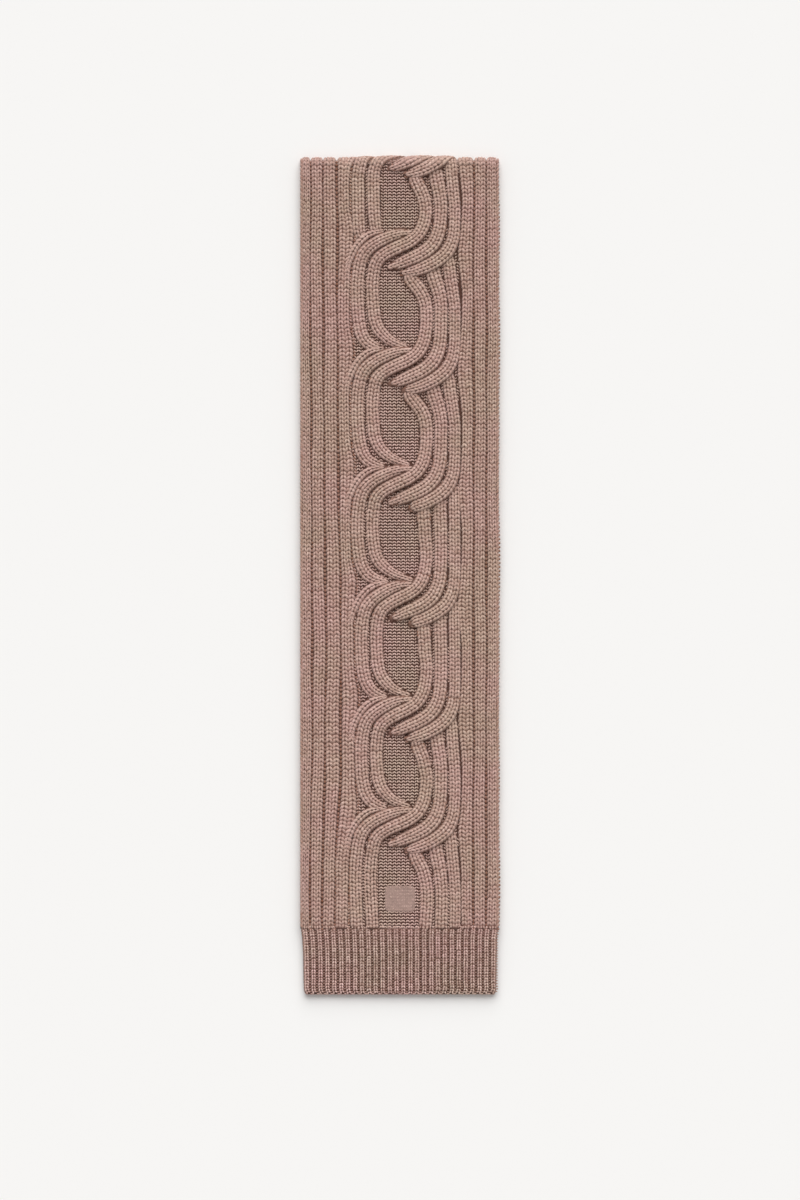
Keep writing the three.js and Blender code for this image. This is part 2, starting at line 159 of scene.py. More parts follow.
hemSections = asRows(("down", "left", "right", "inside", "ground", "crown"), [
    (848.3, -108.2, 108.2, 6.3, 8.6, 11), (856, -107.2, 107.2, 6, 8.2, 10.4),
    (876, -106, 106.8, 5.2, 7.4, 9.7), (904, -105.6, 106.4, 4.6, 6.8, 9.2),
    (917, -105, 106, 4.6, 6.7, 8.9), (920, -103, 104, 4.9, 6.2, 7.4),
])
hemRibs = 28


# The rows of one way, moved to its crossing and given its lean, shift and squareness.
def atCrossing(rows, crossing):
    runsUnder = rows is outerRunsUnder or rows is innerRunsUnder
    comesOut = rows is turnsBackRight or rows is comesOutMiddle or rows is comesOutRight
    lean = crossing["lean"] if runsUnder else 1
    shift = crossing["shiftAbove"] if runsUnder else crossing["shiftBelow"]
    start, top, end = rows[0]["x"], rows[0]["down"], rows[-1]
    straighter = 1 - lean
    squarer = squared["share"] * crossing["square"] if comesOut else 0
    tip = squared["tipShare"] * crossing["square"] if rows is frontToTurn else 0
    return [
        {
            **row,
            "x": start + lean * (row["x"] - start) + shift * min(max(-row["x"] / shiftReach, 0), 1)
            + squarer * (end["x"] - row["x"]) + tip * max(squared["tipAt"] - row["x"], 0),
            "down": crossing["down"] + top + (row["down"] - top) * (1 + straighter * upright["longer"]),
            "half": row["half"] + straighter * upright["wider"] * (upright["half"] - row["half"])
            + squarer * (end["half"] - row["half"]),
        }
        for row in rows
    ]


# A table's column at any distance down, read between its rows.
def valueAt(rows, column, down):
    return np.interp(down, [row["down"] for row in rows], [row[column] for row in rows])


# How far the crossings draw in the columns on one side of the cable.
def pullAt(down, side):
    return sum(valueAt(cablePull, side, down - crossing["down"]) for crossing in crossings)


waySteps = {"apart": 1.5, "runOn": 12, "pastSeam": 8, "ribsTurn": 12, "strandsTurn": 10}


# A way as closely spaced places on a smooth curve, run on straight past both ends.
def smoothWay(rows, ground=None, arch=None):
    table = np.array([[row[c] for c in wayColumns] for row in rows], float)
    knots = np.concatenate([[0], np.cumsum(np.hypot(*np.diff(table[:, :2], axis=0).T))])
    slopes = np.gradient(table, knots, axis=0)
    at = np.arange(0, knots[-1], waySteps["apart"])
    i = np.clip(np.searchsorted(knots, at, "right") - 1, 0, len(knots) - 2)
    span = (knots[i + 1] - knots[i])[:, None]
    t = (at - knots[i])[:, None] / span
    dense = (
        (2 * t**3 - 3 * t**2 + 1) * table[i]
        + (t**3 - 2 * t**2 + t) * span * slopes[i]
        + (3 * t**2 - 2 * t**3) * table[i + 1]
        + (t**3 - t**2) * span * slopes[i + 1]
    )
    runOn = waySteps["runOn"]
    first, last = dense[0].copy(), dense[-1].copy()
    first[:2] -= runOn * (dense[1] - dense[0])[:2] / np.hypot(*(dense[1] - dense[0])[:2])
    last[:2] += runOn * (dense[-1] - dense[-2])[:2] / np.hypot(*(dense[-1] - dense[-2])[:2])
    dense = np.vstack([first, dense, last])
    along = np.concatenate([[0], np.cumsum(np.hypot(*np.diff(dense[:, :2], axis=0).T))]) - runOn
    heading = np.gradient(dense[:, :2], along, axis=0)
    heading /= np.hypot(heading[:, 0], heading[:, 1])[:, None]
    way = {"along": along, "length": along[-1] - runOn}
    way.update({name: dense[:, k] for k, name in enumerate(wayColumns)})
    way["headX"], way["headDown"] = heading[:, 0], heading[:, 1]
    way["ground"] = np.full(len(along), folded["ground"]) if ground is None else ground(dense[:, 1])
    way["arch"] = np.full(len(along), folded["arch"]) if arch is None else arch(dense[:, 1])
    return way


# The straight ribs drift and swell a little on their way down, each in its own way.
waveColumns = ("size", "length", "turn")
ribDrift = {
    "wander": asRows(waveColumns, [(0.7, 47, 2), (0.5, 19, 5)]),
    "swell": asRows(waveColumns, [(0.25, 31, 3)]),
    "wanderShare": 0.6,
    "overlap": 0.35,
    "apart": 12.0,
}


def driftAt(waves, downs, rib):
    return sum(wave["size"] * np.sin(downs / wave["length"] + wave["turn"] * rib) for wave in waves)


def ribWays():
    ways = {"left": [], "right": []}
    first = folded["turnedBack"] - waySteps["ribsTurn"]
    downs = np.arange(first, hemStart + waySteps["pastSeam"], ribDrift["apart"])
    lines = {
        "left": [valueAt(leftGutters, c, downs) for c in ("edge", "first", "second", "third", "fourth")],
        "right": [valueAt(rightGutters, c, downs) for c in ("first", "second", "third", "edge")],
    }
    lines["left"][-1] = lines["left"][-1] + pullAt(downs, "left")
    lines["right"][0] = lines["right"][0] + pullAt(downs, "right")
    for side, gutters in lines.items():
        for k, (a, b) in enumerate(zip(gutters, gutters[1:])):
            middle = (a + b) / 2 + driftAt(ribDrift["wander"], downs, k) * ribDrift["wanderShare"]
            half = (b - a) / 2 + ribDrift["overlap"] + driftAt(ribDrift["swell"], downs, k)
            lift = np.full(len(downs), folded["lift"])
            ways[side].append(smoothWay(asRows(wayColumns, zip(middle, downs, half, lift))))
    return ways


def strandWays():
    ways = {"left": [], "middle": [], "right": []}
    longest = max(len(parts) for _, parts in strands)
    for first in range(1 - longest, len(crossings)):
        for side, parts in strands:
            rows = []
            for i, part in enumerate(parts):
                if not 0 <= first + i < len(crossings):
                    continue
                lowest = rows[-1]["down"] + rowSpacing if rows else -math.inf
                rows += [row for row in atCrossing(part, crossings[first + i]) if row["down"] > lowest]
            if not rows:
                continue
            if len(parts) > 1 and first + len(parts) > len(crossings):
                rows.append({**rows[-1], "down": hemStart + waySteps["pastSeam"]})
            near = [row for row in rows if row["down"] > folded["turnedBack"] - waySteps["strandsTurn"]]
            if len(near) > 2:
                ways[side].append(smoothWay(near))
    return ways


# How far the cloth runs round a quarter of the turn, and how the high crossings settle as they turn over.
turning = {"quarter": 12.2, "longest": 25, "settleOver": 10, "crossingShare": 0.45, "lowest": 0.05}


# From the flat cloth to its place: past the fold the cloth turns over.
def carry(x, down, height):
    crown = folded["ground"] + folded["lift"]
    middle = folded["foldMiddle"]
    turned = np.clip(folded["foldReach"] - down, 0, turning["longest"])
    angle = np.clip(turned / turning["quarter"], 0, 2) * math.pi / 2
    settled = np.minimum(height, crown + turning["crossingShare"] * (height - crown))
    share = np.clip(turned / turning["settleOver"], 0, 1)
    height = height + (np.where(turned > 0, settled, height) - height) * share * (height > crown)
    reach = folded["foldReach"] - (crown - height)
    rise = height - middle
    rise = np.where(angle > math.pi / 2, rise * middle / (crown - middle), rise)
    y = foldTip - np.maximum(down, folded["foldReach"]) + reach * np.sin(angle)
    z = np.where(turned > 0, middle + rise * np.cos(angle), height)
    return np.stack([x, y, np.maximum(z, turning["lowest"])], axis=-1) * mm


archForm = {"widest": 0.985, "flat": 2.6, "round": 0.62}


# A rib's section: its height, from 1 at the middle down to its sides, at q from -1 to 1 across it.
def archAt(q):
    across = np.abs(np.clip(q, -archForm["widest"], archForm["widest"]))
    return (1 - across ** archForm["flat"]) ** archForm["round"]


def alongWay(way, name, at):
    return np.interp(at, way["along"], way[name])


yarnTaper = 2.4


# A short bulge of yarn, full in the middle and sunk at both ends: u along it, v across, w up.
def yarnBulge(sides, rings, length, width, thickness, dip):
    bm = bmesh.new()
    bmesh.ops.create_uvsphere(bm, u_segments=sides, v_segments=rings, radius=1)
    bmesh.ops.triangulate(bm, faces=bm.faces[:])
    points = np.array([v.co[:] for v in bm.verts])
    faces = np.array([[v.index for v in f.verts] for f in bm.faces])
    bm.free()
    fromMiddle = np.abs(points[:, 2])
    full = (1 - fromMiddle ** yarnTaper).clip(0) ** 0.5 / np.sqrt(1 - fromMiddle ** 2).clip(1e-4)
    full = np.where(fromMiddle > 0.999, 1, full)
    u = points[:, 2] * length / 2
    v = points[:, 0] * full * width / 2
    w = points[:, 1] * full * thickness / 2 - dip * points[:, 2] ** 2
    around = np.arctan2(points[:, 1], points[:, 0]) / (2 * math.pi) + 0.5
    return {"u": u, "v": v, "w": w, "faces": faces, "round": around}


# Many small copies of one bulge, gathered into one mesh.
class Heap:
    def __init__(self):
        self.points, self.faces, self.uv, self.shade, self.count = [], [], [], [], 0

    # points is copies x corners x 3
    def add(self, points, bulge, shade):
        copies, corners = points.shape[:2]
        offset = self.count + np.arange(copies)[:, None, None] * corners
        self.points.append(points.reshape(-1, 3))
        self.faces.append((bulge["faces"][None] + offset).reshape(-1, 3))
        self.uv.append(np.tile(np.stack([bulge["u"] * mm, bulge["round"]], 1), (copies, 1)))
        self.shade.append((shade if shade.ndim == 2 else np.repeat(shade[:, None], corners, 1)).ravel())
        self.count += copies * corners

    def mesh(self, name):
        points, faces = np.concatenate(self.points), np.concatenate(self.faces)
        uv, shade = np.concatenate(self.uv), np.concatenate(self.shade)
        mesh = bpy.data.meshes.new(name)
        mesh.vertices.add(len(points))
        mesh.vertices.foreach_set("co", points.astype(np.float32).ravel())
        mesh.loops.add(faces.size)
        mesh.loops.foreach_set("vertex_index", faces.astype(np.int32).ravel())
        mesh.polygons.add(len(faces))
        mesh.polygons.foreach_set("loop_start", np.arange(0, faces.size, 3, dtype=np.int32))
        mesh.polygons.foreach_set("use_smooth", np.ones(len(faces), bool))
        mesh.uv_layers.new(name="yarn").data.foreach_set("uv", uv[faces.ravel()].astype(np.float32).ravel())
        mesh.attributes.new("yarnShade", "FLOAT", "POINT").data.foreach_set("value", shade.astype(np.float32))
        mesh.update(calc_edges=True)
        thing = bpy.data.objects.new(name, mesh)
        bpy.context.scene.collection.objects.link(thing)
        print(f"  {name}: {len(faces)} triangles")
        return thing


def jitter(size, spread):
    return random.normal(0, spread, size)


stitch = {
    "course": 4.37,
    "length": 6.5,
    "width": 3.1,
    "thickness": 3.0,
    "dip": 1.1,
    "tilt": 24.0,
    "sunk": 1.0,
    "wales": (-0.425, 0.425),
    "fromMiddle": 0.225,
    "ribHalf": 8.0,
    "paintedShade": 6.5,
    "endShade": 1.0,
    "varied": 0.8,
    "lighter": 0.0,
}
# How much hand-knit stitches differ: in millimetres, in the tilt's radians and as a share of the size.
uneven = {
    "row": 0.18, "along": 0.15, "across": 0.12, "tilt": 0.07, "size": 0.05, "rise": 0.12,
    "flankAlong": 0.2, "flankShade": 0.8, "barPlace": 0.1, "shade": 0.7,
}
# Cable strands stand high, so their stitches get painted light, and stronger painted shade at their sides.
strandStitch = {**stitch, "wales": (-0.49, 0.49), "fromMiddle": 0.25, "paintedShade": 8.0, "lighter": 0.6}
flank = {"fromLift": 4.6, "tilt": 14.0, "out": 0.97, "sunk": 1.1, "height": 0.3, "paintedShade": 8}
# Where a rib narrows its stitches keep most of their width. Painted shade starts this far out across the rib
# and this deep down a leg.
narrowing = {"leastWidth": 0.8, "shadeFrom": 0.8, "endFrom": 0.3, "narrowRib": 5.5}
overRib = {
    "widest": 0.97, "step": 0.02, "steepest": 1.9, "fullHalf": 8, "thinnest": 0.6, "thickest": 1.1,
    "outShare": 0.45, "settleOver": 10, "settle": 1.4, "pastSeam": 4, "raisedFrom": 3,
}
# A narrow rib holds one column of stitches of the same size.
narrowStitch = {**stitch, "wales": (0,), "fromMiddle": 0.48, "ribHalf": 4.2, "lighter": 1.0}


# The legs of every knit stitch on a rib, laid over the rib's arch. Their tips meet at the top.
# Where the rib narrows to its tip the stitches keep their size, and the outer ones stop.
def knitRib(heap, way, bulge, start=None, end=None, values=stitch):
    start = 0 if start is None else start
    end = way["length"] if end is None else end
    rows = np.arange(start, end, values["course"])
    rows = rows + jitter(len(rows), uneven["row"])
    half = values["ribHalf"]
    usual = np.median(way["half"])
    tilt0 = math.radians(values["tilt"])
    for wale in values["wales"]:
        rowShade = values["lighter"] + jitter(len(rows), values["varied"])
        for side in (-1, 1):
            n = len(rows)
            at = (rows + jitter(n, uneven["along"]))[:, None]
            across = (wale + side * values["fromMiddle"]) * half + jitter(n, uneven["across"])[:, None]
            tilt = (tilt0 + jitter(n, uneven["tilt"]))[:, None]
            size = (1 + jitter(n, uneven["size"]))[:, None]
            u = bulge["u"][None] * size
            v = bulge["v"][None] * (1 + jitter(n, uneven["size"]))[:, None]
            w = bulge["w"][None] - values["sunk"] + jitter(n, uneven["rise"])[:, None]
            s = at + u * np.cos(tilt) - side * v * np.sin(tilt)
            a = across + side * u * np.sin(tilt) + v * np.cos(tilt)
            width = alongWay(way, "half", s)
            q = a / half * np.maximum(width, narrowing["leastWidth"] * usual) / width
            kept = np.abs(q.mean(axis=1)) < overRib["widest"]
            # Painted shade: legs darken toward the rib's sides, where the gutters lie in shade, and at their
            # ends that sink under the next row.
            outer = np.clip((np.abs(q) - narrowing["shadeFrom"]) / (1 - narrowing["shadeFrom"]), 0, 1.2) ** 2
            sunkEnd = np.clip(-bulge["w"][None] - narrowing["endFrom"], 0, 2)
            shade = (rowShade + jitter(n, values["varied"]))[:, None]
            shade = shade - values["paintedShade"] * outer - values["endShade"] * sunkEnd
            if kept.any():
                heap.add(overArch(way, s[kept], q[kept], w[kept]), bulge, shade[kept])


# Legs down both flanks of a strand where it stands high over the ground, darkened with painted shade.
def knitFlanks(heap, way, bulge, start, end, values=strandStitch):
    rows = np.arange(start, end, values["course"]) + values["course"] / 2
    rows = rows[alongWay(way, "lift", rows) > flank["fromLift"]]
    n = len(rows)
    if not n:
        return
    for side in (-1, 1):
        u, v = bulge["u"][None], bulge["v"][None]
        tilt = math.radians(flank["tilt"])
        s = (rows + jitter(n, uneven["flankAlong"]))[:, None] + u * np.cos(tilt) - v * np.sin(tilt)
        lift, half = alongWay(way, "lift", s), alongWay(way, "half", s)
        out = half * flank["out"] + bulge["w"][None] - flank["sunk"]
        z = alongWay(way, "ground", s) + flank["height"] * lift + u * np.sin(tilt) + v * np.cos(tilt)
        x = alongWay(way, "x", s) + side * alongWay(way, "headDown", s) * out
        down = alongWay(way, "down", s) - side * alongWay(way, "headX", s) * out
        heap.add(carry(x, down, z), bulge, jitter(n, uneven["flankShade"]) - flank["paintedShade"])


# The low bars of yarn across the bottom of the gutter to a rib's right, darkened with painted shade as the
# gutter lies in shade.
def gutterBars(heap, way, bulge, start, end, course, height, paintedGutterShade):
    rows = np.arange(start, end, course)
    n = len(rows)
    u, v, w = bulge["u"][None], bulge["v"][None], bulge["w"][None]
    s = (rows + jitter(n, uneven["along"]))[:, None] + v
    x = alongWay(way, "x", s) + alongWay(way, "half", s) + u + jitter(n, uneven["barPlace"])[:, None]
    z = alongWay(way, "ground", s) + height + w + jitter(n, uneven["barPlace"])[:, None]
    heap.add(carry(x, alongWay(way, "down", s), z), bulge, jitter(n, uneven["shade"]) - paintedGutterShade)


# Places on a rib's arch: s along it, q across it from -1 to 1, and w out from its face.
def overArch(way, s, q, w):
    half = alongWay(way, "half", s)
    q0 = np.clip(q, -overRib["widest"], overRib["widest"])
    arch, lift = alongWay(way, "arch", s), alongWay(way, "lift", s)
    step = overRib["step"]
    slope = arch * (archAt(q0 + step) - archAt(q0 - step)) / (2 * step * half)
    slope = np.clip(slope, -overRib["steepest"], overRib["steepest"])
    lean = np.sqrt(1 + slope**2)
    thin = np.clip(half / overRib["fullHalf"], overRib["thinnest"], overRib["thickest"])
    a = q0 * half - overRib["outShare"] * w * thin * slope / lean
    height = alongWay(way, "ground", s) + lift - arch * (1 - archAt(q0)) + w * thin / lean
    headX, headDown = alongWay(way, "headX", s), alongWay(way, "headDown", s)
    x = alongWay(way, "x", s) + headDown * a
    down = alongWay(way, "down", s) - headX * a
    nearSeam = np.clip((down - hemStart + overRib["settleOver"]) / overRib["settleOver"], 0, 1.2)
    settle = nearSeam**1.5 * (down < hemStart + overRib["pastSeam"])
    return carry(x, down, height - overRib["settle"] * settle * (lift > overRib["raisedFrom"]))


straightWithin = 12


# The height of the cloth's face at each place, with the ribs that cover it.
def clothHeight(x, down, ways, ground, below=1.3):
    height = np.zeros(x.shape) + ground
    for wholeWay in ways:
        kept = (wholeWay["along"] >= 0) & (wholeWay["along"] <= wholeWay["length"])
        way = {name: value[kept] for name, value in wholeWay.items() if name != "length"}
        reach = way["half"].max() + 1
        box = (
            (x > way["x"].min() - reach)
            & (x < way["x"].max() + reach)
            & (down > way["down"].min() - reach)
            & (down < way["down"].max() + reach)
        )
        inside = np.flatnonzero(box)
        if not len(inside):
            continue
        px, pd = x.flat[inside], down.flat[inside]
        if np.ptp(way["x"]) < straightWithin:
            near = np.interp(pd, way["down"], np.arange(len(way["down"])))
            i = np.round(near).astype(int)
            distance = np.abs(px - np.interp(pd, way["down"], way["x"]))
        else:
            i = np.zeros(len(px), int)
            distance = np.full(len(px), math.inf)
            for k in range(len(way["x"])):
                d = np.hypot(px - way["x"][k], pd - way["down"][k])
                closer = d < distance
                distance[closer] = d[closer]
                i[closer] = k
        q = distance / way["half"][i]
        h = way["ground"][i] + way["lift"][i] - way["arch"][i] * (1 - archAt(q)) - below
        h = np.where(q < 1, h, -math.inf)
        height.flat[inside] = np.maximum(height.flat[inside], h)
    return height


# A grid whose corners go where place puts them, by their shares of the way across and along.
def gridFace(columns, rows, place):
    bm = bmesh.new()
    bmesh.ops.create_grid(bm, x_segments=columns, y_segments=rows, size=0.5)
    bm.verts.ensure_lookup_table()
    flat = np.array([v.co[:2] for v in bm.verts]) + 0.5
    for v, co in zip(bm.verts, place(flat[:, 0], 1 - flat[:, 1])):
        v.co = co
    return bm


# Closes a face into a thin shell: a second rim is moved to the inside, and filled.
def closedShell(name, bm, moveInside):
    skirt = bmesh.ops.extrude_edge_only(bm, edges=[e for e in bm.edges if e.is_boundary])["geom"]
    for v in skirt:
        if isinstance(v, bmesh.types.BMVert):
            moveInside(v)
    bmesh.ops.holes_fill(bm, edges=[e for e in bm.edges if e.is_boundary], sides=0)
    bmesh.ops.recalc_face_normals(bm, faces=bm.faces[:])
    for f in bm.faces:
        f.smooth = True
    return asObject(name, bm)


crownShade = 8


# The cloth under the stitches, with painted shade: darkest in the gutters at low, lightening up to the ribs
# at crown.
def sheetPiece(name, columns, rows, place, inside, low, crown):
    bm = gridFace(columns, rows, place)
    shade = bm.verts.layers.float.new("yarnShade")
    for v in bm.verts:
        v[shade] = crownShade * min(max((v.co.z / mm - low) / (crown - low), 0), 1)

    def moveInside(v):
        v.co.z = inside * mm

    return closedShell(name, bm, moveInside)


# Rounds a face down to a low edge within the given reach of it.
def roundedDown(height, fromEdge, reach, low):
    return low + (height - low) * np.sqrt(np.clip(fromEdge / reach, 0, 1))


def asObject(name, bm):
    bmesh.ops.triangulate(bm, faces=[f for f in bm.faces if len(f.verts) > 4])
    mesh = bpy.data.meshes.new(name)
    bm.to_mesh(mesh)
    bm.free()
    thing = bpy.data.objects.new(name, mesh)
    bpy.context.scene.collection.objects.link(thing)
    print(f"  {name}: {sum(len(p.vertices) - 2 for p in mesh.polygons)} triangles")
    return thing


def node(tree, kind, **values):
    made = tree.nodes.new(kind)
    for key, value in values.items():
        if hasattr(made, key):
            setattr(made, key, value)
        else:
            made.inputs[key.replace("_", " ")].default_value = value
    return made


# The output of a math node, whose inputs are sockets or plain values.
def calc(tree, operation, *values, kind="ShaderNodeMath"):
    made = node(tree, kind, operation=operation)
    for socket, value in zip(made.inputs, values):
        if isinstance(value, bpy.types.NodeSocket):
            tree.links.new(value, socket)
        else:
            socket.default_value = value
    return made.outputs[0]


def groupTree(name, inputs, outputs):
    tree = bpy.data.node_groups.new(name, "ShaderNodeTree")
    for label, kind, value in inputs:
        tree.interface.new_socket(name=label, in_out="INPUT", socket_type=kind).default_value = value
    for label, kind in outputs:
        tree.interface.new_socket(name=label, in_out="OUTPUT", socket_type=kind)
    return tree, tree.nodes.new("NodeGroupInput"), tree.nodes.new("NodeGroupOutput")


# Spun wool's colour: broad warm and cool drifts, fibre flecks, and a shade for each point of each stitch.
# That shade holds a random tone for each stitch together with painted shade and painted light.
# What is darker is also redder, and what is lighter is greyer.
redder = {"channels": (1, 1.3, 1.45), "darkest": 0.03}


def heatherGroup():
    tree, given, out = groupTree(
        "heather",
        [
            ("Rose", "NodeSocketColor", (0.4, 0.3, 0.26, 1)),
            ("Olive", "NodeSocketColor", (0.4, 0.32, 0.24, 1)),
            ("Flecks", "NodeSocketFloat", 0.3),
            ("Stitch Shade", "NodeSocketFloat", 0.08),
        ],
        [("Color", "NodeSocketColor")],
    )
    link = tree.links.new
    place = node(tree, "ShaderNodeTexCoord")
    drift = node(tree, "ShaderNodeTexNoise", Scale=16, Detail=4, Roughness=0.6)
    drifts = node(tree, "ShaderNodeMapRange", From_Min=0.36, From_Max=0.64)
    blend = node(tree, "ShaderNodeMix", data_type="RGBA")
    fibres = node(tree, "ShaderNodeTexNoise", Scale=420, Detail=5, Roughness=0.75)
    shade = node(tree, "ShaderNodeAttribute", attribute_name="yarnShade")
    link(place.outputs["Object"], drift.inputs["Vector"])
    link(place.outputs["Object"], fibres.inputs["Vector"])
    link(drift.outputs["Fac"], drifts.inputs["Value"])
    link(drifts.outputs["Result"], blend.inputs["Factor"])
    link(given.outputs["Rose"], blend.inputs["A"])
    link(given.outputs["Olive"], blend.inputs["B"])
    fromEven = calc(tree, "SUBTRACT", fibres.outputs["Fac"], 0.5)
    flecks = calc(tree, "MULTIPLY", fromEven, given.outputs["Flecks"])
    stitchShade = calc(tree, "MULTIPLY", shade.outputs["Fac"], given.outputs["Stitch Shade"])
    together = calc(tree, "ADD", flecks, stitchShade)
    vector = "ShaderNodeVectorMath"
    around = calc(tree, "MULTIPLY_ADD", together, redder["channels"], (1, 1, 1), kind=vector)
    floored = calc(tree, "MAXIMUM", around, (redder["darkest"],) * 3, kind=vector)
    link(calc(tree, "MULTIPLY", blend.outputs["Result"], floored, kind=vector), out.inputs["Color"])
    return tree


plyDepth = 0.35


# The turn of the plies round a yarn, from its own map, with loose fibres over it.
def twistGroup():
    tree, given, out = groupTree(
        "yarnTwist",
        [
            ("Plies", "NodeSocketFloat", 3.0),
            ("Turn", "NodeSocketFloat", 420.0),
            ("Fuzz", "NodeSocketFloat", 0.5),
        ],
        [("Height", "NodeSocketFloat")],
    )
    link = tree.links.new
    yarn = node(tree, "ShaderNodeUVMap", uv_map="yarn")
    parts = node(tree, "ShaderNodeSeparateXYZ")
    place = node(tree, "ShaderNodeTexCoord")
    fibres = node(tree, "ShaderNodeTexNoise", Scale=900, Detail=4, Roughness=0.7)
    link(yarn.outputs["UV"], parts.inputs[0])
    link(place.outputs["Object"], fibres.inputs["Vector"])
    along = calc(tree, "MULTIPLY", parts.outputs["X"], given.outputs["Turn"])
    turned = calc(tree, "MULTIPLY", parts.outputs["Y"], given.outputs["Plies"])
    turns = calc(tree, "MULTIPLY", calc(tree, "ADD", along, turned), 2 * math.pi)
    fuzz = calc(tree, "MULTIPLY", fibres.outputs["Fac"], given.outputs["Fuzz"])
    link(calc(tree, "MULTIPLY_ADD", calc(tree, "SINE", turns), plyDepth, fuzz), out.inputs["Height"])
    return tree


knitRelief = {"slant": 1.1, "crown": 0.6, "gutter": 0.4, "legDepth": 0.3, "legMiddle": 0.5}


# Columns of knit legs on a flat side, as a height from its places in metres.
def knitReliefGroup():
    tree, given, out = groupTree(
        "knitRelief",
        [("Rib", "NodeSocketFloat", 0.0075), ("Course", "NodeSocketFloat", 0.0048)],
        [("Height", "NodeSocketFloat")],
    )
    place = node(tree, "ShaderNodeTexCoord")
    parts = node(tree, "ShaderNodeSeparateXYZ")
    tree.links.new(place.outputs["Object"], parts.inputs[0])
    across = calc(tree, "DIVIDE", parts.outputs["X"], given.outputs["Rib"])
    down = calc(tree, "DIVIDE", parts.outputs["Y"], given.outputs["Course"])
    share = calc(tree, "FRACT", calc(tree, "ADD", across, 100.0))
    column = calc(tree, "ABSOLUTE", calc(tree, "SUBTRACT", share, 0.5))
    slant = calc(tree, "ADD", down, calc(tree, "MULTIPLY", column, knitRelief["slant"]))

    def wave(places, turn):
        return calc(tree, "SINE", calc(tree, "MULTIPLY", places, turn))

    def ridge(turn, power):
        return calc(tree, "POWER", calc(tree, "ABSOLUTE", wave(across, turn)), power)

    slanted = calc(
        tree, "MULTIPLY_ADD", wave(slant, 2 * math.pi), knitRelief["legDepth"], knitRelief["legMiddle"]
    )
    legs = calc(tree, "MULTIPLY", ridge(2 * math.pi, knitRelief["crown"]), slanted)
    gutter = ridge(math.pi, knitRelief["gutter"])
    tree.links.new(calc(tree, "MULTIPLY", legs, gutter), out.inputs["Height"])
    return tree


def linear(rgb):
    return tuple(((c / 255 + 0.055) / 1.055) ** 2.4 if c > 10 else c / 255 / 12.92 for c in rgb) + (1,)


def wool(name, values):
    material = bpy.data.materials.new(name)
    material.use_nodes = True
    tree = material.node_tree
    shader = tree.nodes["Principled BSDF"]
    shader.inputs["Roughness"].default_value = values["roughness"]
    shader.inputs["Sheen Weight"].default_value = values["sheen"]
    shader.inputs["Sheen Roughness"].default_value = 0.5
    shader.inputs["Specular IOR Level"].default_value = 0.2
    colour = node(tree, "ShaderNodeGroup", node_tree=heather)
    colour.inputs["Rose"].default_value = linear(values["rose"])
    colour.inputs["Olive"].default_value = linear(values["olive"])
    colour.inputs["Flecks"].default_value = values["flecks"]
    colour.inputs["Stitch Shade"].default_value = values["stitchShade"]
    plies = node(tree, "ShaderNodeGroup", node_tree=twist)
    plies.inputs["Fuzz"].default_value = values["fuzz"]
    bump = node(tree, "ShaderNodeBump", Strength=values["bump"], Distance=0.0006)
    tree.links.new(colour.outputs["Color"], shader.inputs["Base Color"])
    tree.links.new(plies.outputs["Height"], bump.inputs["Height"])
    tree.links.new(bump.outputs["Normal"], shader.inputs["Normal"])
    return material


heather = heatherGroup()
twist = twistGroup()
relief = knitReliefGroup()
yarnFinish = {
    "rose": (194, 157, 147), "olive": (189, 160, 143), "flecks": 0.9, "stitchShade": 0.05,
    "roughness": 0.9, "sheen": 0.3, "fuzz": 1.0, "bump": 0.5,
}
yarnWool = wool("yarnWool", yarnFinish)
# The cloth under the stitches is painted dark brown: painted shade for what shows between the stitches, in
# the gutters and in the windows.
innerWoolPaintedShade = wool("innerWoolPaintedShade", {
    "rose": (88, 58, 50), "olive": (84, 58, 47), "flecks": 0.8, "stitchShade": 0.16,
    "roughness": 0.95, "sheen": 0.1, "fuzz": 1.0, "bump": 0.6,
})
weltWool = wool("weltWool", {**yarnFinish, "rose": (198, 159, 150), "olive": (190, 161, 145)})


# The plain hidden side: the same wool with its ribs as bump relief, and painted shade in the relief's
# hollows.
def flatKnit(name, values, rib, course):
    material = wool(name, values)
    tree = material.node_tree
    shader = tree.nodes["Principled BSDF"]
    knit = node(tree, "ShaderNodeGroup", node_tree=relief)
    knit.inputs["Rib"].default_value = rib
    knit.inputs["Course"].default_value = course
    bump = node(tree, "ShaderNodeBump", Strength=0.9, Distance=0.0016)
    # Painted shade: the colour darkens in the relief's hollows.
    shade = node(tree, "ShaderNodeMapRange", To_Min=0.42, To_Max=1.12)
    bright = node(tree, "ShaderNodeVectorMath", operation="SCALE")
    colour = shader.inputs["Base Color"].links[0].from_socket
    fibres = shader.inputs["Normal"].links[0].from_socket
    tree.links.new(knit.outputs["Height"], bump.inputs["Height"])
    tree.links.new(knit.outputs["Height"], shade.inputs["Value"])
    tree.links.new(fibres, bump.inputs["Normal"])
    tree.links.new(colour, bright.inputs[0])
    tree.links.new(shade.outputs["Result"], bright.inputs["Scale"])
    tree.links.new(bright.outputs[0], shader.inputs["Base Color"])
    tree.links.new(bump.outputs["Normal"], shader.inputs["Normal"])
    return material


underWool = flatKnit("underWool", yarnFinish, 14.5 * mm, stitch["course"] * mm)
underWeltWool = flatKnit("underWeltWool", yarnFinish, 7.6 * mm, 3 * mm)


def finishPiece(thing, material):
    thing.data.materials.append(material)
    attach(thing, "root")
    return thing


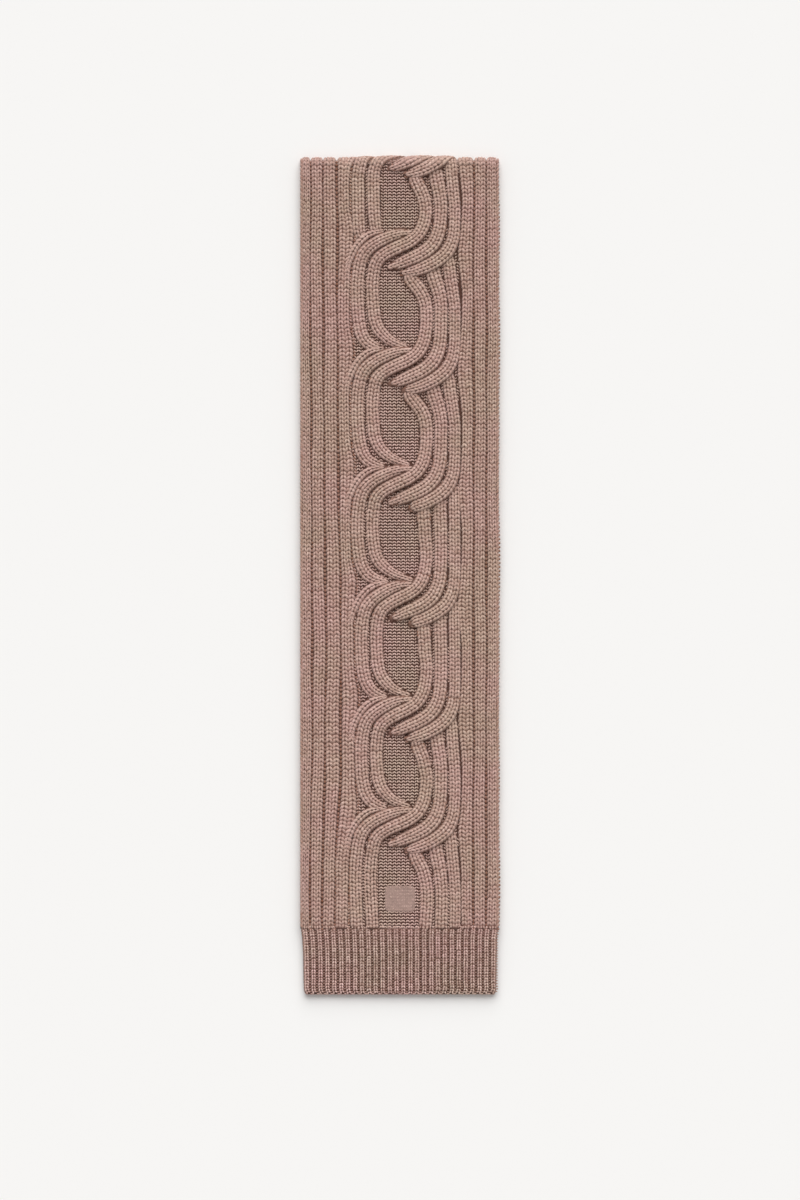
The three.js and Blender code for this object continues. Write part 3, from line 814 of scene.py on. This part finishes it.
print("ribs and cable strands")
ribs = ribWays()
cables = strandWays()
allWays = ribs["left"] + ribs["right"] + cables["left"] + cables["middle"] + cables["right"]
leg = yarnBulge(6, 5, stitch["length"], stitch["width"], stitch["thickness"], stitch["dip"])
strandLegWider = 1.15
strandWidth = strandLegWider * stitch["width"]
strandLeg = yarnBulge(6, 5, stitch["length"], strandWidth, stitch["thickness"], stitch["dip"])
bar = yarnBulge(5, 4, length=4.2, width=3.8, thickness=2.0, dip=0.9)
edgeLeg = yarnBulge(6, 5, length=6.9, width=2.8, thickness=2.4, dip=0.4)
gutterBar = {"firstDown": 5, "height": 0.3, "paintedGutterShade": 8.5}
stitchesPastSeam = 0.6
for name, ways in (
    ("left_ribs", ribs["left"]),
    ("right_ribs", ribs["right"]),
    ("cable_left", cables["left"]),
    ("cable_middle", cables["middle"]),
    ("cable_right", cables["right"]),
):
    heap = Heap()
    for way in ways:
        low = np.interp(folded["turnedBack"], way["down"], way["along"])
        high = np.interp(hemStart + stitchesPastSeam, way["down"], way["along"])
        reach = max(low, 0), min(high, way["length"])
        straight = name in ("left_ribs", "right_ribs")
        narrow = way["half"].max() < narrowing["narrowRib"]
        kind = stitch if straight else strandStitch
        knitRib(heap, way, leg if straight else strandLeg, *reach, narrowStitch if narrow else kind)
        if not straight and not narrow:
            knitFlanks(heap, way, leg, *reach)
        if straight:
            first = np.interp(gutterBar["firstDown"], way["down"], way["along"])
            height, paintedGutterShade = gutterBar["height"], gutterBar["paintedGutterShade"]
            gutterBars(heap, way, bar, first, reach[1], stitch["course"], height, paintedGutterShade)
    finishPiece(heap.mesh(name), yarnWool)

print("ground")
purl = {
    "pitch": 3.33, "wave": 4.9, "firstDown": -6, "left": -56, "right": 66, "pastSeam": 0.5,
    "length": 3.7, "width": 1.8, "thickness": 2.8, "dip": 0.5, "tilt": 47.0, "rise": 0.5, "bareUnder": 1,
    "crestLight": 3.2, "sideShade": 2.6, "lighter": 3.8, "paintedShadeInGaps": 5.0,
}


# Slanting beads on the low ground, wherever no rib covers it. They carry painted shade where the ground is
# narrow and on their low sides, and painted light on their end toward the lamp and the fold, with painted
# shade on the end away from it.
def purlGround():
    bead = yarnBulge(5, 4, purl["length"], purl["width"], purl["thickness"], purl["dip"])
    rows = np.arange(purl["firstDown"], hemStart + purl["pastSeam"], purl["pitch"])
    places = np.arange(purl["left"], purl["right"], purl["wave"] / 2)
    down, x = (a.ravel() for a in np.meshgrid(rows, places, indexing="ij"))
    way = np.tile(np.arange(len(places)) % 2 * 2 - 1, len(rows))
    cover = clothHeight(x, down, allWays, folded["ground"], below=0)
    bare = (cover < folded["ground"] + purl["bareUnder"]).reshape(len(rows), len(places))
    wide = (sum(np.roll(bare, k, axis=1).astype(int) for k in (-2, -1, 0, 1, 2)) > 3)[bare]
    bare = bare.ravel()
    x, down, way = x[bare], down[bare], way[bare]
    n = len(x)
    tilt = (way * math.radians(purl["tilt"]) + jitter(n, 0.12))[:, None]
    u, v = bead["u"][None], bead["v"][None] * (1 + jitter(n, 0.06))[:, None]
    px = (x + jitter(n, 0.15))[:, None] + u * np.cos(tilt) - v * np.sin(tilt)
    pd = (down + jitter(n, 0.12))[:, None] + u * np.sin(tilt) + v * np.cos(tilt)
    pz = folded["ground"] + purl["rise"] + bead["w"][None] + jitter(n, 0.15)[:, None]
    heap = Heap()
    shade = jitter(n, uneven["shade"]) + purl["lighter"] - purl["paintedShadeInGaps"] * (1 - wide)
    # Painted light toward the fold and the lamp, painted shade away from it and on each bead's low side.
    shade = shade[:, None] - purl["crestLight"] * (pd - down[:, None])
    shade = shade - purl["sideShade"] * np.clip(0.5 - bead["w"][None], 0, 1.6)
    heap.add(carry(px, pd, pz), bead, shade)
    return heap.mesh("purl_ground")


finishPiece(purlGround(), yarnWool)

sheet = {"columns": 144, "upperRows": 330, "foldRows": 14, "edgeReach": 2.5, "edgeRise": 0.6}


def upperFace(across, along):
    first = folded["foldReach"] + folded["seamGap"]
    x = (across * 2 - 1) * panelHalf
    down = first + along * (hemStart - first)
    height = clothHeight(x, down, allWays, folded["ground"])
    low = folded["inside"] + sheet["edgeRise"]
    return carry(x, down, roundedDown(height, panelHalf - np.abs(x), sheet["edgeReach"], low))


upperSheet = sheetPiece(
    "upper_sheet", sheet["columns"], sheet["upperRows"], upperFace, folded["inside"],
    low=folded["ground"] + 0.5, crown=folded["ground"] + folded["lift"] - 1.5,
)
finishPiece(upperSheet, innerWoolPaintedShade)
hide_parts("upper_body")
foldSheet = {"narrower": 0.4, "lower": 0.4, "edgeRise": 0.9, "innerShare": 0.35}


# The cloth where it turns over, from the start of the upper half round to the lower one.
def foldFace(across, along):
    x = (across * 2 - 1) * (panelHalf - foldSheet["narrower"])
    down = folded["turnedBack"] + along * (folded["foldReach"] - folded["turnedBack"])
    height = clothHeight(x, down, allWays, folded["ground"] - foldSheet["lower"])
    low = folded["inside"] + foldSheet["edgeRise"]
    return carry(x, down, roundedDown(height, panelHalf - np.abs(x), sheet["edgeReach"], low))


def foldTurn():
    line = (foldTip - folded["foldReach"]) * mm

    def moveInside(v):
        v.co.y = line + foldSheet["innerShare"] * (v.co.y - line)
        v.co.z = folded["foldMiddle"] * mm

    return closedShell("fold_turn", gridFace(sheet["columns"], sheet["foldRows"], foldFace), moveInside)


turn = finishPiece(foldTurn(), underWool)
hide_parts("fold")

print("lower half")
sideEdge = {
    "tilt": 24.0, "apart": 1.35, "narrower": 0.9, "sunk": 0.9, "rounded": 1.6, "roundness": 2.4, "paintedShade": 6.0,
    "halfHeight": 0.49, "reachUp": 4, "reachDown": 3.0,
}


# A flat layer with rounded sides through the given sections.
def underSlab(name, sections, edgeSteps=6):
    bm = bmesh.new()
    rings = []
    for down, left, right, top in sections:
        ring = []
        angles = np.linspace(-math.pi / 2, math.pi / 2, edgeSteps)
        r = top / 2
        for a in angles:
            ring.append((right - r + r * math.cos(a), top / 2 + r * math.sin(a)))
        for a in angles[::-1]:
            ring.append((left + r - r * math.cos(a), top / 2 + r * math.sin(a)))
        rings.append([bm.verts.new((x * mm, (foldTip - down) * mm, z * mm)) for x, z in ring])
    loops = []
    for ring in rings:
        loops.append([bm.edges.new((ring[i], ring[(i + 1) % len(ring)])) for i in range(len(ring))])
    for a, b in zip(loops, loops[1:]):
        bmesh.ops.bridge_loops(bm, edges=a + b)
    bm.faces.new(rings[0])
    bm.faces.new(rings[-1])
    bmesh.ops.recalc_face_normals(bm, faces=bm.faces[:])
    for f in bm.faces:
        f.smooth = len(f.verts) == 4
    return asObject(name, bm)


# The way of the stitches down one side, with the heights between which they lie.
def sideWay(sign, downs, edge, low, high, out):
    way = smoothWay([dict(zip(wayColumns, (0, d, 3, 0))) for d in downs])
    way["sign"], way["out"] = sign, out
    for name, values in (("edge", edge), ("low", low), ("high", high)):
        way[name] = np.interp(way["down"], downs, values)
    return way


# Stitches on a side edge of a layer, facing outwards.
def knitEdge(heap, way, bulge, course):
    rows = np.arange(0, way["length"], course)
    for side in (-1, 1):
        n = len(rows)
        tilt = (math.radians(sideEdge["tilt"]) + jitter(n, uneven["tilt"]))[:, None]
        u, v = bulge["u"][None], bulge["v"][None] * sideEdge["narrower"]
        w = bulge["w"][None] - sideEdge["sunk"]
        s = rows[:, None] + jitter(n, 0.2)[:, None] + u * np.cos(tilt) - side * v * np.sin(tilt)
        a = side * sideEdge["apart"] + side * u * np.sin(tilt) + v * np.cos(tilt)
        low, high, edge = (alongWay(way, name, s) for name in ("low", "high", "edge"))
        q = np.clip(a / ((high - low) * sideEdge["halfHeight"]), -0.97, 0.97)
        outwards = edge + way["out"] + w - sideEdge["rounded"] * np.abs(q) ** sideEdge["roundness"]
        z = np.maximum((low + high + (high - low) * q) / 2, 0.1) + 0 * outwards
        points = np.stack([way["sign"] * outwards, foldTip - alongWay(way, "down", s), z], -1) * mm
        # Painted shade toward the top and bottom of the rounded edge, where it turns away.
        heap.add(points, bulge, jitter(n, uneven["shade"])[:, None] - sideEdge["paintedShade"] * np.abs(q) ** 3)


hemDowns = np.array([row["down"] for row in hemSections])
hemTops = np.array([row["inside"] - folded["seamGap"] for row in hemSections])
bodySections = [
    (d, -panelHalf, panelHalf, folded["lowerTop"])
    for d in np.linspace(folded["foldReach"] + folded["seamGap"], hemStart, 12)
]
underLayer = finishPiece(underSlab("under_layer", bodySections), underWool)
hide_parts("under_body")
weltSections = [(row["down"], row["left"], row["right"], top) for row, top in zip(hemSections, hemTops)]
underWelt = finishPiece(underSlab("under_welt", weltSections), underWeltWool)
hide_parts("under_hem")

edgeHeap = Heap()
bodyDowns = np.array([folded["foldReach"] - sideEdge["reachUp"], hemStart - sideEdge["reachDown"]])
bodyLayers = (
    {"low": 0, "high": folded["lowerTop"], "out": 0.4},
    {"low": folded["inside"], "high": folded["ground"] + 2.4, "out": 0.2},
)
for sign in (-1, 1):
    for layer in bodyLayers:
        low, high = [layer["low"]] * 2, [layer["high"]] * 2
        way = sideWay(sign, bodyDowns, [panelHalf] * 2, low, high, layer["out"])
        knitEdge(edgeHeap, way, edgeLeg, stitch["course"])
finishPiece(edgeHeap.mesh("side_edges"), yarnWool)

print("welt")
# The welt's legs get strong painted shade at their sunk ends and toward the gutters.
weltStitch = {
    "course": 3.0, "tilt": 30.0, "sunk": 0.7, "wales": (0,), "fromMiddle": 0.4, "ribHalf": 3.85, "paintedShade": 5.6,
    "endShade": 7.0, "varied": 1.6, "lighter": 3.0,
}
weltLeg = yarnBulge(6, 4, length=3.9, width=2.3, thickness=2.8, dip=1.5)
edgeHeap = Heap()
hemInside = np.array([row["inside"] for row in hemSections])
hemGround = np.array([row["ground"] for row in hemSections])
for sign, column in ((-1, "left"), (1, "right")):
    edge = [abs(row[column]) for row in hemSections]
    for low, high in ((0 * hemTops, hemTops), (hemInside, hemGround + 1)):
        way = sideWay(sign, hemDowns, edge, low, high, out=0.2)
        knitEdge(edgeHeap, way, weltLeg, weltStitch["course"])
finishPiece(edgeHeap.mesh("welt_edges"), weltWool)
weltRib = {"half": 0.49, "varied": 0.12, "archRise": 0.5, "seamRise": 0.7, "seamFade": 4}


# The narrow ribs of the welt, which swell a little where they meet the wide ones.
def weltWays():
    ways = []
    column = {name: np.array([row[name] for row in hemSections]) for name in hemSections[0]}
    seamSwell = weltRib["seamRise"] * np.exp((column["down"][0] - column["down"]) / weltRib["seamFade"])
    rise = column["crown"] - column["ground"]
    for rib in range(hemRibs):
        pitch = (column["right"] - column["left"]) / hemRibs
        x = column["left"] + pitch * (rib + 0.5) + random.normal(0, weltRib["varied"])
        half = pitch * weltRib["half"]
        rows = [dict(zip(wayColumns, line)) for line in zip(x, column["down"], half, rise + seamSwell)]
        ways.append(smoothWay(
            rows,
            ground=lambda d: np.interp(d, column["down"], column["ground"]),
            arch=lambda d: np.interp(d, column["down"], rise + weltRib["archRise"]),
        ))
    return ways


welts = weltWays()
weltBar = yarnBulge(5, 4, length=3.4, width=1.5, thickness=1.9, dip=0.5)
heap = Heap()
for way in welts:
    knitRib(heap, way, weltLeg, -2, way["length"] - 0.5, weltStitch)
    gutterBars(heap, way, weltBar, 0, way["length"] - 1, weltStitch["course"], height=0.7, paintedGutterShade=5.2)
finishPiece(heap.mesh("welt_ribs"), weltWool)


weltCloth = {"columns": hemRibs * 6, "rows": 24, "lower": 0.4, "below": 0.9, "edgeReach": 2}


def weltFace(across, along):
    down = hemSections[0]["down"] + along * (hemSections[-1]["down"] - hemSections[0]["down"])
    left, right = valueAt(hemSections, "left", down), valueAt(hemSections, "right", down)
    x = left + across * (right - left)
    ground = valueAt(hemSections, "ground", down) - weltCloth["lower"]
    height = clothHeight(x, down, welts, ground, below=weltCloth["below"])
    low = valueAt(hemSections, "inside", down) + sheet["edgeRise"]
    z = roundedDown(height, np.minimum(x - left, right - x), weltCloth["edgeReach"], low)
    return np.stack([x, foldTip - down, z], -1) * mm


weltSheet = sheetPiece(
    "welt_sheet", weltCloth["columns"], weltCloth["rows"], weltFace, hemSections[2]["inside"],
    low=7.2, crown=9.5,
)
finishPiece(weltSheet, innerWoolPaintedShade)
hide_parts("upper_hem")


chain = {"pitch": 3.7, "fromLeft": 2, "fromRight": 1, "slant": 28, "flatter": 0.5, "proud": 0.9}
chainRows = ({"height": 6.0, "back": 0.5}, {"height": 3.9, "back": 0.6}, {"height": 1.7, "back": 0.4})


# The cast-off edge: a chain of slanting loops along the end of each layer.
def castOff():
    heap = Heap()
    loop = yarnBulge(6, 4, length=6.2, width=2.6, thickness=2.4, dip=0.5)
    u, v, w = loop["u"][None], loop["v"][None], loop["w"][None]
    last = hemSections[-1]
    for row in chainRows:
        x = np.arange(last["left"] + chain["fromLeft"], last["right"] - chain["fromRight"], chain["pitch"])
        n = len(x)
        slant = (math.radians(chain["slant"]) * (np.arange(n) % 2 * 2 - 1) + jitter(n, 0.1))[:, None]
        px = (x + jitter(n, 0.2))[:, None] + u * np.cos(slant)
        pz = row["height"] + u * np.sin(slant) * chain["flatter"] + v
        py = foldTip - last["down"] - row["back"] + chain["proud"] - w
        points = np.stack([px, py * np.ones_like(px), np.clip(pz, 0.1, None)], -1) * mm
        heap.add(points, loop, jitter(n, uneven["shade"]))
    return heap.mesh("cast_off")


finishPiece(castOff(), weltWool)

print("patch")
patchLow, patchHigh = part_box("patch")
patch = {
    "corner": 4.0, "cornerSteps": 8, "bevel": 0.4, "stitchPitch": 2.6, "stitchInset": 1.7, "stitchRise": 0.12,
}


def roundOblong(width, height, corner, steps):
    points = []
    for k, (sx, sy) in enumerate(((1, 1), (-1, 1), (-1, -1), (1, -1))):
        middle = sx * (width / 2 - corner), sy * (height / 2 - corner)
        for a in np.linspace(0, math.pi / 2, steps) + k * math.pi / 2:
            points.append((middle[0] + corner * math.cos(a), middle[1] + corner * math.sin(a)))
    return points


def patchFace():
    bm = bmesh.new()
    middle = (patchLow + patchHigh) / 2
    size = (patchHigh - patchLow) / mm
    outline = roundOblong(size.x, size.y, patch["corner"], patch["cornerSteps"])
    rim = [bm.verts.new((middle.x + x * mm, middle.y + y * mm, patchLow.z)) for x, y in outline]
    bottom = bm.faces.new(rim)
    bottom.normal_update()
    grown = bmesh.ops.extrude_face_region(bm, geom=[bottom], use_keep_orig=True)["geom"]
    lifted = [v for v in grown if isinstance(v, bmesh.types.BMVert)]
    bmesh.ops.translate(bm, verts=lifted, vec=(0, 0, patchHigh.z - patchLow.z))
    topEdges = [e for e in bm.edges if all(v in lifted for v in e.verts)]
    bmesh.ops.recalc_face_normals(bm, faces=bm.faces[:])
    bmesh.ops.bevel(
        bm, geom=topEdges, offset=patch["bevel"] * mm, offset_type="OFFSET",
        segments=3, profile=0.5, affect="EDGES", material=-1,
    )
    return asObject("patch_face", bm)


def patchStitches():
    size = (patchHigh - patchLow) / mm
    middle = (patchLow + patchHigh) / 2 / mm
    inset = patch["stitchInset"]
    inner = size.x - 2 * inset, size.y - 2 * inset
    outline = np.array(roundOblong(*inner, patch["corner"] - inset, patch["cornerSteps"]))
    closed = np.vstack([outline, outline[:1]])
    along = np.concatenate([[0], np.cumsum(np.hypot(*np.diff(closed, axis=0).T))])
    count = round(along[-1] / patch["stitchPitch"])
    at = np.arange(count) * along[-1] / count
    x, y = (np.interp(at, along, closed[:, k]) for k in (0, 1))
    ahead = (at + 0.5) % along[-1]
    nextX, nextY = (np.interp(ahead, along, closed[:, k]) for k in (0, 1))
    angle = np.arctan2(nextY - y, nextX - x)[:, None]
    thread = yarnBulge(6, 5, length=2.2, width=0.55, thickness=0.5, dip=0.2)
    u, v, w = thread["u"][None], thread["v"][None], thread["w"][None]
    px = middle.x + x[:, None] + u * np.cos(angle) - v * np.sin(angle)
    py = middle.y + y[:, None] + u * np.sin(angle) + v * np.cos(angle)
    pz = patchHigh.z / mm + patch["stitchRise"] + w + 0 * px
    heap = Heap()
    heap.add(np.stack([px, py, pz], -1) * mm, thread, jitter(count, 0.5))
    return heap.mesh("patch_stitches")


# A close twill face for the patch.
def twillCloth(name, colour):
    material = bpy.data.materials.new(name)
    material.use_nodes = True
    tree = material.node_tree
    shader = tree.nodes["Principled BSDF"]
    shader.inputs["Roughness"].default_value = 0.75
    shader.inputs["Sheen Weight"].default_value = 0.15
    place = node(tree, "ShaderNodeTexCoord")
    weave = node(tree, "ShaderNodeTexWave", Scale=260, Distortion=1.2, Detail=2)
    weave.bands_direction = "DIAGONAL"
    grain = node(tree, "ShaderNodeTexNoise", Scale=420, Detail=4, Roughness=0.7)
    tint = node(tree, "ShaderNodeMapRange", From_Min=0.3, From_Max=0.7, To_Min=0.7, To_Max=1.24)
    bright = node(tree, "ShaderNodeVectorMath", operation="SCALE")
    bright.inputs[0].default_value = linear(colour)[:3]
    bump = node(tree, "ShaderNodeBump", Strength=0.4, Distance=0.0003)
    tree.links.new(place.outputs["Object"], weave.inputs["Vector"])
    tree.links.new(place.outputs["Object"], grain.inputs["Vector"])
    tree.links.new(grain.outputs["Fac"], tint.inputs["Value"])
    tree.links.new(tint.outputs["Result"], bright.inputs["Scale"])
    tree.links.new(bright.outputs[0], shader.inputs["Base Color"])
    tree.links.new(weave.outputs["Fac"], bump.inputs["Height"])
    tree.links.new(bump.outputs["Normal"], shader.inputs["Normal"])
    return material


patchPiece = finishPiece(patchFace(), twillCloth("patchTwill", (163, 134, 124)))
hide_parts("patch")
finishPiece(patchStitches(), yarnWool)

print("stage")
bm = bmesh.new()
bmesh.ops.create_grid(bm, x_segments=1, y_segments=1, size=15)
floor = asObject("floor", bm)
paper = bpy.data.materials.new("paper")
paper.use_nodes = True
paper.node_tree.nodes["Principled BSDF"].inputs["Base Color"].default_value = (0.92, 0.91, 0.895, 1)
paper.node_tree.nodes["Principled BSDF"].inputs["Roughness"].default_value = 0.9
floor.data.materials.append(paper)

world = bpy.data.worlds.new("studio")
world.use_nodes = True
world.node_tree.nodes["Background"].inputs["Color"].default_value = (1, 1, 1, 1)
world.node_tree.nodes["Background"].inputs["Strength"].default_value = 0.42
bpy.context.scene.world = world

sunlight = {"strength": 2.88, "spread": 60.0, "lean": 50.0, "turn": -4.0}
lamp = bpy.data.lights.new("softSun", "SUN")
lamp.energy = sunlight["strength"]
lamp.angle = math.radians(sunlight["spread"])
lampObject = bpy.data.objects.new("softSun", lamp)
lampObject.rotation_euler = (-math.radians(sunlight["lean"]), 0, math.radians(sunlight["turn"]))
bpy.context.scene.collection.objects.link(lampObject)

view = {"height": 6.0, "across": 0.0005, "along": -0.027, "covers": 1.32, "sensor": 36}
camera = bpy.data.cameras.new("camera")
camera.sensor_fit = "VERTICAL"
camera.sensor_height = view["sensor"]
camera.lens = view["sensor"] * view["height"] / view["covers"]
cameraObject = bpy.data.objects.new("camera", camera)
cameraObject.location = (view["across"], view["along"], view["height"])
bpy.context.scene.collection.objects.link(cameraObject)
bpy.context.scene.camera = cameraObject
bpy.context.scene.view_settings.view_transform = "Standard"
